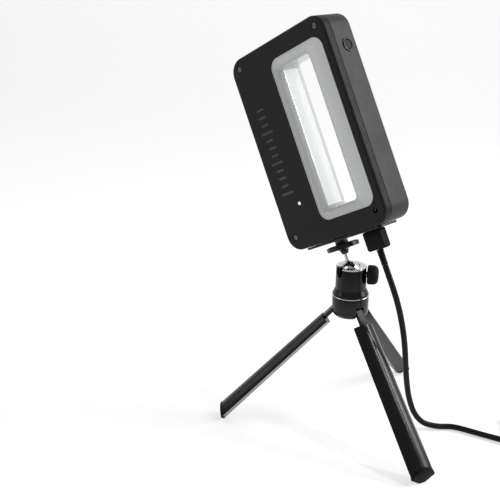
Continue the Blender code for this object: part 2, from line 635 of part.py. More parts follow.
def coil_entry():
    """Where the cable meets the coil's outer turn, coming along the floor at a tangent."""
    centre = Vector(COIL_CENTRE)
    back = Vector(ROUTE[-1][:2]) - centre
    angle = math.atan2(back.y, back.x) + math.acos(COIL_OUT / back.length)
    place = centre + Vector((math.cos(angle), math.sin(angle))) * COIL_OUT
    return Vector((*place, COIL_LOW + CABLE_R))


def tail_points():
    """From just off the coil's top layer out and down to the far plug."""
    start_z = COIL_TOP - CABLE_R
    found = []
    for i in range(41):
        ease = smooth_step(i / 40)
        radius = COIL_OUT + (TAIL_R - COIL_OUT) * ease
        a = math.radians(TAIL_TURN * i / 40)
        x, y = (c + radius * f for c, f in zip(COIL_CENTRE, (math.cos(a), math.sin(a))))
        if radius >= COIL_EDGE + CABLE_R + GAP:
            found.append(Vector((x, y, start_z + (TAIL_Z - start_z) * ease)))
    return found


def smooth_step(t):
    return t * t * (3 - 2 * t)


def cable_tube(name, points, stand):
    curve = bpy.data.curves.new(name, "CURVE")
    curve.dimensions = "3D"
    curve.bevel_depth = CABLE_R * MM
    curve.bevel_resolution = 2
    curve.use_fill_caps = True
    spline = curve.splines.new("POLY")
    spline.points.add(len(points) - 1)
    for point, place in zip(spline.points, points):
        point.co = (*(place * MM), 1)
    curve.materials.append(material(name, *CABLE_JACKET))
    obj = bpy.data.objects.new(name, curve)
    bpy.context.scene.collection.objects.link(obj)
    obj.parent = stand


def cable(stand):
    entry = coil_entry()
    last = Vector(ROUTE[-1])
    clear = math.sqrt((COIL_EDGE + GAP) ** 2 - (COIL_OUT - CABLE_R) ** 2)
    stop = entry + (last - entry).normalized() * clear
    route = smooth_points(list(ROUTE) + [last.lerp(stop, 0.5), stop])
    cable_tube("cable", spaced(route, 10), stand)

    centre = (*COIL_CENTRE, 0)
    section = rounded(COIL_IN - CABLE_R, COIL_EDGE, COIL_LOW, COIL_TOP, 2.2, 2)
    make("cable_coil", turned(section, centre, segments=32, ring=True), CABLE_JACKET, stand)
    inner, outer = COIL_IN - CABLE_R - 3 * GAP, COIL_EDGE + GAP
    band = [
        rounded(inner - t, outer + t, COIL_LOW - GAP - t, COIL_TOP + GAP + t, 1.5, 2) for t in (0, TIE_T)
    ]
    loops = [
        [(x, y, z) for x, z in band[side]]
        for side, y in ((0, -TIE_HALF), (0, TIE_HALF), (1, TIE_HALF), (1, -TIE_HALF))
    ]
    tie = skin(loops, closed=True)
    turn = Matrix.Rotation(math.radians(TIE_AT), 3, "Z")
    bmesh.ops.rotate(tie, cent=(0, 0, 0), matrix=turn, verts=tie.verts)
    bmesh.ops.translate(tie, vec=centre, verts=tie.verts)
    make("cable_tie", tie, BLACK_RUBBER, stand)

    tail = tail_points()
    cable_tube("cable_tail", spaced(tail, 8), stand)
    heading = math.degrees(math.atan2(tail[-1].y - tail[-2].y, tail[-1].x - tail[-2].x))
    frame = empty("far_plug_frame", stand, tail[-1], (0, 0, heading))
    long, wide, high = FAR_PLUG
    loops = []
    for x, share in ((GAP, 0.55), (6, 1), (long - 0.6, 1), (long, 0.94)):
        half_y, half_z = wide / 2 * share, high / 2 * share
        edge = rounded(-half_y, half_y, -half_z, half_z, 1.2 * share, 2)
        loops.append([(x, y, z) for y, z in edge])
    make("usb_plug_body", skin(loops), BLACK_RUBBER, frame)
    shell = prism(rounded(-6, 6, -2.25, 2.25, 0.5, 2), "x", long + GAP, long + 12.3)
    shell = make("usb_plug_shell", shell, CHROME, frame)
    cut(shell, prism(rounded(-5.6, 5.6, -0.2, 1.85, 0.3, 2), "x", long + 3, long + 14))


# ---------------------------------------------------------------- whole model

CABLE_NODES = ("cable", "cable_coil", "cable_tie", "cable_tail", "usb_plug_body", "usb_plug_shell")


def centre_over_floor(stand):
    """Moves the stand so that the box of everything but the free cable is centred on the origin."""
    bpy.context.view_layer.update()
    graph = bpy.context.evaluated_depsgraph_get()
    corners = []
    for obj in bpy.context.scene.objects:
        if obj.type == "MESH" and not obj.hide_render and obj.name not in CABLE_NODES:
            shape = obj.evaluated_get(graph)
            mesh = shape.to_mesh()
            corners += [shape.matrix_world @ v.co for v in mesh.vertices]
            shape.to_mesh_clear()
    middle = [(min(c[i] for c in corners) + max(c[i] for c in corners)) / 2 for i in (0, 1)]
    stand.location = (-middle[0], -middle[1], 0)


def build():
    clear_scene()
    stand = empty("stand_frame")
    head = empty("head_frame", stand, (0, 0, BALL_Z), (0, -LEAN, 0))
    scanner = empty("scanner_frame", head, (-SOCKET_X, -DEPTH / 2, BASE_Z))
    housings(scanner)
    liners(scanner)
    optics(scanner)
    electronics(scanner)
    scan_button(scanner)
    base_fittings(scanner)
    ball_head(stand, head)
    legs(stand)
    cable(stand)
    centre_over_floor(stand)


build()
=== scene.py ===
"""The looks of the ring-shaped handheld scanner on its mini tripod.

Lengths are in millimetres about the tripod's own axis on the floor, until a piece is made: then
MM and the axis's place in the row frame turn them into the row frame's metres. The lamps, the floor
and CABLE_LENGTH are in metres from the start.
"""

import json
import math

import bmesh
import bpy
from mathutils import Matrix, Vector


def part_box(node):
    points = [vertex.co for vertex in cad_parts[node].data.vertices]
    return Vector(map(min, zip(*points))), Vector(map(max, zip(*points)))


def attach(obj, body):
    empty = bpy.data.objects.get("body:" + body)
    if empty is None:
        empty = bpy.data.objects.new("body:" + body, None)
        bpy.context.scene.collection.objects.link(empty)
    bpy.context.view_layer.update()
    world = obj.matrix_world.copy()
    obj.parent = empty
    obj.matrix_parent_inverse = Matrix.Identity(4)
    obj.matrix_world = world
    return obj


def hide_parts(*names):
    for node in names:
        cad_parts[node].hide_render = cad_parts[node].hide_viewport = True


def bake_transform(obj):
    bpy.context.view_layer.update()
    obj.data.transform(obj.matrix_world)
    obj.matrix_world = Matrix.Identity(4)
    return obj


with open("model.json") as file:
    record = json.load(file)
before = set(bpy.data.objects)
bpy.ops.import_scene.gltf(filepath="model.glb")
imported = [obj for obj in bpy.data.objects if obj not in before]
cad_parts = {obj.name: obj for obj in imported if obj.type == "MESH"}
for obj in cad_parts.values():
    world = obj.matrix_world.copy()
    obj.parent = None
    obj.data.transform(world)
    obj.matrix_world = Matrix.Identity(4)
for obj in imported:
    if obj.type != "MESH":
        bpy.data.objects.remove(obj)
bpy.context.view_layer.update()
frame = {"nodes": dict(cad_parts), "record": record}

MM = 0.001
LAMP_DISTANCE = 1.2
GAP = 0.3
WIDTH, DEPTH, LENGTH = 118.0, 33.0, 178.0
MID_Y = DEPTH / 2
CORNER_R, EDGE_R, WALL, FACE_WALL, PART_Y = 14.0, 2.2, 2.0, 2.6, 8.0
MOUTH = (49.5, 109.2, 18.5, 160.3, 8.5)
THROAT = (54.5, 87.2, 26.4, 153.4, 3.5)
FLARE, LIP, LINER_WALL = 8.6, 1.2, 1.6
SCREW_X, SCREW_ZS = 10.4, (12.0, 169.0)
WINDOW = (5.2, 40.8, 14.0, 164.0, 5.0)
BUTTON_Y, BUTTON_Z = 21.1, 147.3
LIGHT_X, LIGHT_Z = 28.8, 39.3
PLATE_T = 2.0
PLUG_X, PLUG = 84.9, (19.4, 9.0, 16.9)
SOCKET_X = 46.5
BALL_Z, BALL_R, LEAN, STEM_R, BASE_Z = 146.6, 8.5, 26.3, 2.0, 30.5
PLATFORM_R, PLATFORM_TOP, PLATFORM_LOW = 14.6, 24.3, 20.4
BARREL_R, BARREL_LOW, BARREL_TOP, BORE_R = 13.1, 125.9, 149.9, 10.0
SLOT_AZ, SLOT_W = 257.0, 7.6
CLAMP_AZ, CLAMP_Z = 33.0, 144.0
KNOB_R, KNOB_IN, KNOB_OUT, KNOB_FLAT, KNOB_ROUND = 8.5, 14.2, 23.6, 4.0, 4.6
HUB_R, HUB_LOW, HUB_TOP, HUB_ROUND = 16.0, 105.5, 124.4, 5.5
COLLAR_R, RING_R = 15.8, 16.4
LEG_AZ = (222.0, 342.0, 102.0)
PIVOT_R, PIVOT_Z, SPREAD = 10.0, 118.6, 44.0
LINK_LOW, LINK_HIGH, LINK_W, EYE_R = -3.3, 0.3, 6.6, 2.9
SLOT_IN, SLOT_OUT = 6.2, 13.3
LEG_TOP, TAPER_END, CREST_END, APEX_END, FOOT_T = -19.4, -145.0, -150.1, -158.3, 2.4
LEG_R_TOP, LEG_R_END, SIDE_GAP = 11.5, 13.6, 0.5

CABLE_R, CABLE_LENGTH, RELIEF_LEN = 2.6, 1.8, 13.5
ROUTE = (
    (35.8, 0.0, 160.9),
    (40.2, 0.1, 151.9),
    (44.4, 0.5, 142.8),
    (48.2, 1.9, 131.5),
    (50.8, 4.4, 118.0),
    (52.0, 8.0, 102.0),
    (51.8, 12.0, 85.0),
    (50.8, 16.0, 67.0),
    (50.2, 20.0, 49.0),
    (50.8, 24.2, 32.0),
    (53.6, 29.4, 16.5),
    (59.6, 35.6, 6.7),
    (69.0, 44.0, 3.3),
    (81.0, 54.0, 3.0),
)
COIL_CENTRE = Vector((148.0, 113.0))
COIL_IN, TURN_PITCH, TURNS_EACH_WAY = 22.8, 5.3, 3.5
COIL_OUT = 41.6
COIL_LOW, COIL_TOP = 0.9, 11.4
TIE_T, TIE_HALF, TIE_AT = 0.6, 3.5, 200.0
TAIL_TURN, TAIL_R, TAIL_Z = 95.0, 54.0, 4.05
FAR_PLUG = (28.0, 15.7, 7.8)

low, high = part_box("ball_cup")
AXIS = Vector(((low.x + high.x) / 2, (low.y + high.y) / 2, 0))
STAND = Matrix.Identity(4)
HEAD = Matrix.Translation((0, 0, BALL_Z)) @ Matrix.Rotation(math.radians(-LEAN), 4, "Y")
SCANNER = HEAD @ Matrix.Translation((-SOCKET_X, -MID_Y, BASE_Z))
ALONG_Y = (0, 1, 0)


# ---------------------------------------------------------------- mesh tools


def skin(loops, closed=False):
    """A mesh through loops of points. A loop of one point is a tip. A closed skin is a ring."""
    bm = bmesh.new()
    rows = [[bm.verts.new(p) for p in loop] for loop in loops]
    pairs = list(zip(rows, rows[1:]))
    if closed:
        pairs.append((rows[-1], rows[0]))
    for a, b in pairs:
        count = max(len(a), len(b))
        for i in range(count):
            j = (i + 1) % count
            corners = [a[i % len(a)], a[j % len(a)], b[j % len(b)], b[i % len(b)]]
            bm.faces.new(list(dict.fromkeys(corners)))
    if not closed:
        for end in (rows[0], rows[-1]):
            if len(end) > 2:
                bm.faces.new(end)
    bmesh.ops.recalc_face_normals(bm, faces=bm.faces)
    return bm


def joined(meshes):
    """One mesh holding several separate shapes."""
    whole = bmesh.new()
    for bm in meshes:
        part = bpy.data.meshes.new("part")
        bm.to_mesh(part)
        whole.from_mesh(part)
        bpy.data.meshes.remove(part)
        bm.free()
    return whole


def turned(profile, at=(0, 0, 0), axis=(0, 0, 1), segments=64, ring=False):
    turn = Matrix.Translation(at) @ Vector(axis).to_track_quat("Z", "Y").to_matrix().to_4x4()
    loops = []
    for radius, along in profile:
        count = segments if radius > 0 else 1
        angles = [2 * math.pi * i / segments for i in range(count)]
        loops.append([turn @ Vector((radius * math.cos(a), radius * math.sin(a), along)) for a in angles])
    return skin(loops, closed=ring)


def rod(radius, start, end, at=(0, 0, 0), axis=(0, 0, 1), segments=32):
    return turned([(0, start), (radius, start), (radius, end), (0, end)], at, axis, segments)


def rounded(u0, u1, v0, v1, radius, segments=16):
    points = []
    centres = ((u1 - radius, v1 - radius), (u0 + radius, v1 - radius))
    centres += ((u0 + radius, v0 + radius), (u1 - radius, v0 + radius))
    for quarter, (cu, cv) in enumerate(centres):
        for i in range(segments + 1):
            a = math.pi / 2 * (quarter + i / segments)
            points.append((cu + radius * math.cos(a), cv + radius * math.sin(a)))
    return points


def prism(points, axis, start, end):
    place = {
        "x": lambda u, v, d: (d, u, v),
        "y": lambda u, v, d: (u, d, v),
        "z": lambda u, v, d: (u, v, d),
    }[axis]
    return skin([[place(u, v, d) for u, v in points] for d in (start, end)])


def box(x0, x1, y0, y1, z0, z1):
    return prism([(x0, y0), (x1, y0), (x1, y1), (x0, y1)], "z", z0, z1)


def softened(profile, size, steps=3):
    """A turned profile with its corners rounded off."""
    found = []
    for i, (r, z) in enumerate(profile):
        here = Vector((r, z))
        if i in (0, len(profile) - 1):
            found.append((r, z))
            continue
        before, after = Vector(profile[i - 1]) - here, Vector(profile[i + 1]) - here
        reach = min(size, before.length * 0.45, after.length * 0.45)
        a, b = here + before.normalized() * reach, here + after.normalized() * reach
        for k in range(steps + 1):
            t = k / steps
            p = a * (1 - t) ** 2 + here * 2 * t * (1 - t) + b * t**2
            found.append((p.x, p.y))
    return found


def to_object(name, bm, place):
    bmesh.ops.transform(bm, matrix=place, verts=bm.verts)
    bmesh.ops.scale(bm, vec=(MM, MM, MM), verts=bm.verts)
    bmesh.ops.translate(bm, vec=AXIS, verts=bm.verts)
    mesh = bpy.data.meshes.new(name)
    bm.to_mesh(mesh)
    bm.free()
    mesh.shade_smooth()
    mesh.set_sharp_from_angle(angle=math.radians(32))
    obj = bpy.data.objects.new(name, mesh)
    bpy.context.scene.collection.objects.link(obj)
    return obj


def cut(obj, bm, place):
    """Cuts a shape out of a piece for good. It clears the piece's modifiers, so bevels come after."""
    tool = to_object("tool", bm, place)
    modifier = obj.modifiers.new("shape", "BOOLEAN")
    modifier.operation = "DIFFERENCE"
    modifier.solver = "EXACT"
    modifier.object = tool
    bpy.context.view_layer.update()
    graph = bpy.context.evaluated_depsgraph_get()
    mesh = bpy.data.meshes.new_from_object(obj.evaluated_get(graph))
    obj.modifiers.clear()
    obj.data = mesh
    mesh.shade_smooth()
    mesh.set_sharp_from_angle(angle=math.radians(32))
    bpy.data.objects.remove(tool)


def edge_round(obj, width, angle=32, segments=2):
    bevel = obj.modifiers.new("edges", "BEVEL")
    bevel.width = width * MM
    bevel.segments = segments
    bevel.limit_method = "ANGLE"
    bevel.angle_limit = math.radians(angle)
    bevel.harden_normals = True
    bevel.use_clamp_overlap = True


def piece(name, bm, place, body, finish, nodes=(), bevel=0.0):
    """Makes a visual piece that moves with a body and stands for the CAD nodes it names."""
    obj = to_object(name, bm, place)
    obj.data.materials.append(finish)
    if bevel:
        edge_round(obj, bevel)
    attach(obj, body)
    if nodes:
        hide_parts(*nodes)
    return obj


# ---------------------------------------------------------------- materials


def surface(
    slot, colour, rough, metallic=0.0, grain=0.0, grain_size=0.4, patches=0.15, tint=0.15,
    coat=0.0, specular=0.5, glow=0.0, streak=None, wear=0.0,
):
    """A procedural finish: patches of slightly different gloss and shade over a fine grain."""
    mat = bpy.data.materials.new(slot)
    mat["slot"] = slot
    mat.use_nodes = True
    tree = mat.node_tree
    shader = tree.nodes["Principled BSDF"]
    shader.inputs["Metallic"].default_value = metallic
    shader.inputs["Specular IOR Level"].default_value = specular
    shader.inputs["Coat Weight"].default_value = coat
    shader.inputs["Coat Roughness"].default_value = 0.06
    shader.inputs["Emission Color"].default_value = (*colour, 1)
    shader.inputs["Emission Strength"].default_value = glow

    def add(kind, **values):
        node = tree.nodes.new(kind)
        for key, value in values.items():
            node.inputs[key].default_value = value
        return node

    def link(a, output, b, socket):
        tree.links.new(a.outputs[output], b.inputs[socket])

    where = add("ShaderNodeTexCoord")
    mapping = add("ShaderNodeMapping")
    mapping.inputs["Scale"].default_value = streak or (1, 1, 1)
    link(where, "Object", mapping, "Vector")
    blotch = add("ShaderNodeTexNoise", Scale=70.0, Detail=5.0, Roughness=0.6)
    link(mapping, "Vector", blotch, "Vector")
    gloss = add("ShaderNodeMapRange")
    gloss.inputs["From Min"].default_value = 0.3
    gloss.inputs["From Max"].default_value = 0.7
    gloss.inputs["To Min"].default_value = rough * (1 - patches)
    gloss.inputs["To Max"].default_value = min(1.0, rough * (1 + patches))
    link(blotch, "Fac", gloss, "Value")
    link(gloss, "Result", shader, "Roughness")
    shade = add("ShaderNodeTexNoise", Scale=260.0, Detail=6.0, Roughness=0.65)
    link(mapping, "Vector", shade, "Vector")
    ramp = add("ShaderNodeValToRGB")
    ramp.color_ramp.elements[0].position = 0.3
    ramp.color_ramp.elements[1].position = 0.7
    ramp.color_ramp.elements[0].color = (*[c * (1 - tint) for c in colour], 1)
    ramp.color_ramp.elements[1].color = (*[min(1, c * (1 + tint)) for c in colour], 1)
    link(shade, "Fac", ramp, "Fac")
    last, output = ramp, "Color"
    if wear:
        rub = add("ShaderNodeTexNoise", Scale=35.0, Detail=8.0, Roughness=0.7)
        link(where, "Object", rub, "Vector")
        amount = add("ShaderNodeMapRange")
        amount.inputs["From Min"].default_value = 0.56
        amount.inputs["From Max"].default_value = 0.74
        amount.inputs["To Max"].default_value = wear
        link(rub, "Fac", amount, "Value")
        mix = add("ShaderNodeMixRGB")
        mix.inputs["Color2"].default_value = (*[c * 1.6 + 0.012 for c in colour], 1)
        link(amount, "Result", mix, "Fac")
        link(ramp, "Color", mix, "Color1")
        last, output = mix, "Color"
    link(last, output, shader, "Base Color")
    if grain:
        fine = add("ShaderNodeTexNoise", Scale=1000.0 / grain_size, Detail=3.0, Roughness=0.5)
        link(mapping, "Vector", fine, "Vector")
        bump = add("ShaderNodeBump", Strength=grain, Distance=0.0001)
        link(fine, "Fac", bump, "Height")
        link(bump, "Normal", shader, "Normal")
    return mat


SHELL = surface(
    "black_shell", (0.0085, 0.0087, 0.0094), 0.48,
    grain=0.5, grain_size=0.45, patches=0.1, wear=0.1, specular=0.15,
)
LINER = surface("grey_liner", (0.46, 0.472, 0.472), 0.16, grain=0.02, patches=0.25, tint=0.02, coat=0.4)
WINDOW_BLACK = surface("dark_window", (0.004, 0.004, 0.006), 0.05, patches=0.3, tint=0.1, grain=0.01)
PAINT = surface(
    "black_metal", (0.0012, 0.001, 0.0012), 0.2, grain=0.05, grain_size=0.8, patches=0.3, specular=0.3
)
STEEL = surface("dark_steel", (0.16, 0.16, 0.165), 0.32, 1.0, grain=0.15, streak=(1, 1, 6), patches=0.25)
CHROME = surface("chrome", (0.6, 0.6, 0.61), 0.07, 1.0, grain=0.01, patches=0.5, tint=0.03)
surface("aluminium", (0.5, 0.51, 0.52), 0.35, 1.0, grain=0.2, grain_size=0.3, streak=(8, 1, 1))
RUBBER = surface(
    "black_rubber", (0.0035, 0.0035, 0.0038), 0.6, grain=0.6, grain_size=0.5, wear=0.2, specular=0.12
)
JACKET = surface(
    "cable_jacket", (0.004, 0.004, 0.0045), 0.4, grain=0.3, grain_size=0.7, wear=0.1, specular=0.16
)
surface("nylon", (0.52, 0.52, 0.49), 0.45, grain=0.2, grain_size=0.5)
surface("board_green", (0.008, 0.085, 0.03), 0.4, grain=0.2, grain_size=1.2, tint=0.3)
surface("chip_black", (0.013, 0.013, 0.014), 0.45, grain=0.35, grain_size=0.35)
LIGHT_LENS = surface("light_lens", (0.72, 0.9, 0.82), 0.15, grain=0.02, tint=0.05, coat=0.3, glow=0.35)
MATS = {m["slot"]: m for m in bpy.data.materials if "slot" in m}
# A lighter copy of black_shell for the front housing: the light on the scanner's side is painted into this
# lighter colour, beside the darker SHELL of the face.
HOUSING_PAINTED_LIT = surface(
    "black_shell", (0.0145, 0.0142, 0.0138), 0.5,
    grain=0.5, grain_size=0.45, patches=0.1, wear=0.1, specular=0.3,
)
INLAY = surface("black_shell", (0.002, 0.002, 0.0022), 0.1, grain=0.02, specular=0.6)


# ---------------------------------------------------------------- camera and light


def studio():
    right, down = Vector((0.70203, 0.71211, -0.00757)), Vector((0.22804, -0.23485, -0.9449))
    ahead = Vector((-0.67465, 0.66162, -0.32726))
    camera = bpy.data.objects.new("camera", bpy.data.cameras.new("camera"))
    bpy.context.scene.collection.objects.link(camera)
    camera.data.sensor_width = 36.0
    camera.data.lens = 63.9
    turn = Matrix((right, -down, -ahead)).transposed()
    camera.matrix_world = Matrix.Translation(AXIS + Vector((453.84, -567.94, 416.24)) * MM) @ turn.to_4x4()
    bpy.context.scene.camera = camera

    bpy.context.scene.view_settings.view_transform = "Standard"
    world = bpy.data.worlds.new("world")
    bpy.context.scene.world = world
    world.use_nodes = True
    world.node_tree.nodes["Background"].inputs["Color"].default_value = (1.0, 1.0, 1.0, 1)
    world.node_tree.nodes["Background"].inputs["Strength"].default_value = 0.42

    def lamp(name, ahead, aim, size, radiance, along=(0, 0, 1)):
        """A soft box at LAMP_DISTANCE from its aim, turned so that its long side runs along a direction."""
        light = bpy.data.lights.new(name, "AREA")
        light.shape = "RECTANGLE"
        light.size, light.size_y = size
        light.energy = radiance * math.pi * size[0] * size[1]
        obj = bpy.data.objects.new(name, light)
        bpy.context.scene.collection.objects.link(obj)
        z = Vector(ahead).normalized()
        y = (Vector(along) - z * z.dot(Vector(along))).normalized()
        turn = Matrix((y.cross(z), y, z)).transposed().to_4x4()
        obj.matrix_world = Matrix.Translation(AXIS + Vector(aim) + z * LAMP_DISTANCE) @ turn

    leg = (0.66, -0.21, -0.72)
    lamp("side", (0.67, 0.66, 0.33), (0, 0, 0.24), (0.6, 0.6), 5.0)
    lamp("strip_a", (0.47, 0.29, 0.83), (0.07, -0.02, 0.06), (0.07, 0.55), 34.0, leg)
    lamp("strip_b", (0.415, 0.583, 0.698), (0.07, -0.02, 0.06), (0.07, 0.55), 30.0, leg)
    lamp("fill", (-0.6, -0.6, 0.5), (0, 0, 0.2), (0.8, 0.8), 1.2)

    bm = bmesh.new()
    run = [(-3.0, 0.0), (1.2, 0.0)]
    for a in [math.radians(10 * k) for k in range(1, 10)]:
        run.append((1.2 + 0.5 * math.sin(a), 0.5 - 0.5 * math.cos(a)))
    run.append((1.7, 3.0))
    rows = [[bm.verts.new((x, y, z - 0.0001)) for y, z in run] for x in (-4.0, 4.0)]
    for i in range(len(run) - 1):
        bm.faces.new((rows[0][i], rows[1][i], rows[1][i + 1], rows[0][i + 1]))
    bmesh.ops.rotate(bm, cent=(0, 0, 0), matrix=Matrix.Rotation(math.radians(40), 3, "Z"), verts=bm.verts)
    mesh = bpy.data.meshes.new("floor")
    bm.to_mesh(mesh)
    bm.free()
    mesh.shade_smooth()
    floor = bpy.data.objects.new("floor", mesh)
    bpy.context.scene.collection.objects.link(floor)
    mat = bpy.data.materials.new("floor")
    mat.use_nodes = True
    shader = mat.node_tree.nodes["Principled BSDF"]
    shader.inputs["Base Color"].default_value = (0.5, 0.5, 0.5, 1)
    shader.inputs["Roughness"].default_value = 0.9
    shader.inputs["Specular IOR Level"].default_value = 0.0
    shader.inputs["Emission Color"].default_value = (1, 1, 1, 1)
    shader.inputs["Emission Strength"].default_value = 0.58
    mesh.materials.append(mat)


# ---------------------------------------------------------------- cable


def smooth_points(points, per_span=8):
    knots = [Vector(p) for p in points]
    knots = [2 * knots[0] - knots[1]] + knots + [2 * knots[-1] - knots[-2]]
    found = []
    for p0, p1, p2, p3 in zip(knots, knots[1:], knots[2:], knots[3:]):
        for i in range(per_span):
            t = i / per_span
            tangents = (p2 - p0) * (t - 2 * t**2 + t**3) / 2 + (p3 - p1) * (t**3 - t**2) / 2
            found.append(p1 * (1 - 3 * t**2 + 2 * t**3) + p2 * (3 * t**2 - 2 * t**3) + tangents)
    return found + [knots[-2]]


def smooth_step(t):
    return t * t * (3 - 2 * t)


def cable_path():
    """The whole cable: down to the floor, in along the coil's lower layer, out along its upper."""
    back = Vector(ROUTE[-1][:2]) - COIL_CENTRE
    outer = COIL_IN + TURN_PITCH * TURNS_EACH_WAY
    angle = math.degrees(math.atan2(back.y, back.x) + math.acos(outer / back.length))
    low_z, high_z = COIL_LOW + CABLE_R, COIL_TOP - CABLE_R

    def at(radius, degrees, z):
        a = math.radians(degrees)
        return Vector((COIL_CENTRE.x + radius * math.cos(a), COIL_CENTRE.y + radius * math.sin(a), z))

    entry = at(outer, angle, low_z)
    last = Vector(ROUTE[-1])
    points = smooth_points(list(ROUTE) + [last.lerp(entry, 1 / 3), last.lerp(entry, 2 / 3), entry])
    run = 360 * TURNS_EACH_WAY
    steps = int(run / 6)
    for i in range(1, steps + 1):
        d = run * i / steps
        points.append(at(outer - TURN_PITCH * d / 360, angle + d, low_z))
    angle += run
    for i in range(1, 11):
        z = low_z + (high_z - low_z) * smooth_step(i / 10)
        points.append(at(COIL_IN, angle + 6 * i, z))
    angle += 60
    leaves = 360 * round((angle + run) / 360)
    steps = int((leaves - angle) / 6)
    for i in range(1, steps + 1):
        d = (leaves - angle) * i / steps
        points.append(at(COIL_IN + TURN_PITCH * d / 360, angle + d, high_z))
    start = COIL_IN + TURN_PITCH * (leaves - angle) / 360
    for i in range(1, 41):
        ease = smooth_step(i / 40)
        radius = start + (TAIL_R - start) * ease
        points.append(at(radius, TAIL_TURN * i / 40, high_z + (TAIL_Z - high_z) * ease))
    return points


def tube_mesh(points, radius, sides=14):
    """A tube whose section turns as little as it can along the way."""
    loops = []
    normal = Vector((0, 1, 0))
    for i, p in enumerate(points):
        ahead = points[min(i + 1, len(points) - 1)] - points[max(i - 1, 0)]
        ahead.normalize()
        normal = (normal - ahead * normal.dot(ahead)).normalized()
        side = ahead.cross(normal)
        angles = [2 * math.pi * k / sides for k in range(sides)]
        loops.append([p + (normal * math.cos(a) + side * math.sin(a)) * radius for a in angles])
    return skin(loops)


def cable():
    points = cable_path()
    cord = to_object("cable_run", tube_mesh(points, CABLE_R), STAND)
    cord.data.materials.append(JACKET)
    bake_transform(cord)
    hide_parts("cable", "cable_coil", "cable_tail")

    heading = math.degrees(math.atan2(points[-1].y - points[-2].y, points[-1].x - points[-2].x))
    place = Matrix.Translation(points[-1]) @ Matrix.Rotation(math.radians(heading), 4, "Z")
    long, wide, high = FAR_PLUG
    loops = []
    for x, w, h in (
        (GAP, 0.36, 0.72), (0.8, 0.4, 0.8), (4.2, 0.46, 0.86), (7.5, 0.9, 0.97), (8.6, 1, 1),
        (long - 1.2, 1, 1), (long - 0.3, 0.97, 0.94), (long, 0.93, 0.87),
    ):
        edge = rounded(-wide / 2 * w, wide / 2 * w, -high / 2 * h, high / 2 * h, 1.6 * min(w, h), 5)
        loops.append([(x, y, z) for y, z in edge])
    body = piece("far_plug_body", skin(loops), place, "ball_seat", RUBBER, ["usb_plug_body"])
    ribs = [box(x, x + 0.7, -9, 9, z, z + 0.8) for x in (11, 13, 15, 17) for z in (-4.2, 3.4)]
    cut(body, joined(ribs), place)
    shell = prism(rounded(-6, 6, -2.25, 2.25, 0.5, 4), "x", long + GAP, long + 12.3)
    shell = piece("far_plug_shell", shell, place, "ball_seat", CHROME, ["usb_plug_shell"])
    cut(shell, prism(rounded(-5.7, 5.7, -0.2, 1.95, 0.3, 3), "x", long + 2, long + 14), place)
    cut(shell, joined([box(long + 5, long + 7.2, y - 1.1, y + 1.1, 1.5, 3) for y in (-2.8, 2.8)]), place)

    inner, outer = COIL_IN - CABLE_R - 3 * GAP, COIL_OUT + CABLE_R + GAP
    turn = Matrix.Translation((*COIL_CENTRE, 0)) @ Matrix.Rotation(math.radians(TIE_AT), 4, "Z")
    band = [
        rounded(inner - t, outer + t, COIL_LOW - GAP - t, COIL_TOP + GAP + t, 2.6, 6) for t in (0, TIE_T)
    ]
    loops = [
        [(x, y, z) for x, z in band[side]]
        for side, y in ((0, -TIE_HALF), (0, TIE_HALF), (1, TIE_HALF), (1, -TIE_HALF))
    ]
    tie = skin(loops, closed=True)
    piece("coil_tie", tie, turn, "ball_seat", RUBBER, ["cable_tie"], bevel=0.12)


# ---------------------------------------------------------------- scanner


def outer_loop(inset, y):
    edge = rounded(inset, WIDTH - inset, inset, LENGTH - inset, CORNER_R - inset)
    return [(x, y, z) for x, z in edge]


def hole_loop(share, grow, y):
    x0, x1, z0, z1, radius = [m + (t - m) * share for m, t in zip(MOUTH, THROAT)]
    edge = rounded(x0 - grow, x1 + grow, z0 - grow, z1 + grow, radius + grow)
    return [(x, y, z) for x, z in edge]


def face_edge(face_y, inward, wall):
    hole = LIP + GAP
    loops = []
    for a in [math.radians(10 * k) for k in range(10)]:
        loops.append(outer_loop(EDGE_R * (1 - math.cos(a)), face_y + inward * EDGE_R * (1 - math.sin(a))))
    loops.append(outer_loop(EDGE_R + 0.6, face_y))
    loops.append(hole_loop(0, hole + 0.25, face_y))
    loops.append(hole_loop(0, hole, face_y + inward * 0.25))
    loops.append(hole_loop(0, hole, face_y + inward * wall))
    loops.append(outer_loop(WALL, face_y + inward * wall))
    return loops


def screw_places():
    for x in (SCREW_X, WIDTH - SCREW_X):
        for z in SCREW_ZS:
            yield x, z


